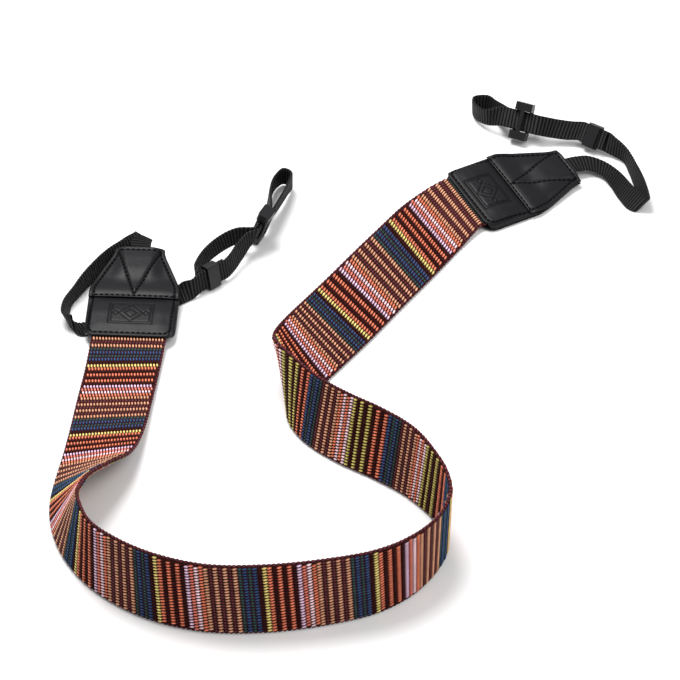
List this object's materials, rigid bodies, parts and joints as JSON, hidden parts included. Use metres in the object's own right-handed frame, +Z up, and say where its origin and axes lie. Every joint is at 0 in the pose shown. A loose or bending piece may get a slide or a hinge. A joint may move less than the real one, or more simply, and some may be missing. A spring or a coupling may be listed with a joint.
{
  "type": "camera neck strap",
  "caption": "Woven camera neck strap laid in an S on edge, with stitched leather end tabs and narrow webbing ends through keeper and slide buckle to eyelet loops.",
  "frame": {"origin": "middle of the strap's own box, on the table that it lies on", "axes": "+Z up from the table, +X to the right and +Y away from the viewer, along the longer side of the space that the strap covers"},
  "size_m": [0.3028, 0.412, 0.038],
  "materials": {
    "woven_cotton": "thick striped weave with raised floats in many colours between maroon selvedges",
    "leather": "soft black leather with a fine grain and stitched edges",
    "nylon_webbing": "ribbed black nylon webbing",
    "black_plastic": "satin moulded plastic"
  },
  "bodies": {
    "root": {"woven_band": "woven_cotton", "left_tab_back": "leather", "left_tab_lower_panel": "leather", "left_tab_upper_panel": "leather", "left_webbing": "nylon_webbing", "left_keeper": "black_plastic", "left_buckle": "black_plastic", "right_tab_back": "leather", "right_tab_lower_panel": "leather", "right_tab_upper_panel": "leather", "right_webbing": "nylon_webbing", "right_keeper": "black_plastic", "right_buckle": "black_plastic"}
  },
  "joints": []
}
